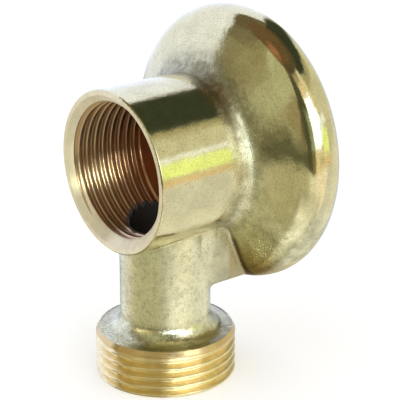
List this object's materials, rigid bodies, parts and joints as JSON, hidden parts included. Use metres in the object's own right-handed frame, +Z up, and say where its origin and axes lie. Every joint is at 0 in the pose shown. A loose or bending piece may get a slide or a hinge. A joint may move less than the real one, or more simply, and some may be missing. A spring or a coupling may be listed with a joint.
{
  "type": "wall plate elbow",
  "caption": "Cast brass elbow on a hollow round wall plate: an internally threaded socket points into the room and an externally threaded outlet hangs below it on a short neck.",
  "frame": {"origin": "centre of the plate's wall face, on the socket's axis", "axes": "+Y into the wall, so the socket points along -Y; +Z up, so the outlet points along -Z; X across the plate"},
  "size_m": [0.0522, 0.0349, 0.0683],
  "materials": {
    "brass": "tumbled casting, with a smooth boss and rim and turned threads"
  },
  "bodies": {
    "root": {"elbow_body": "brass"}
  },
  "joints": []
}
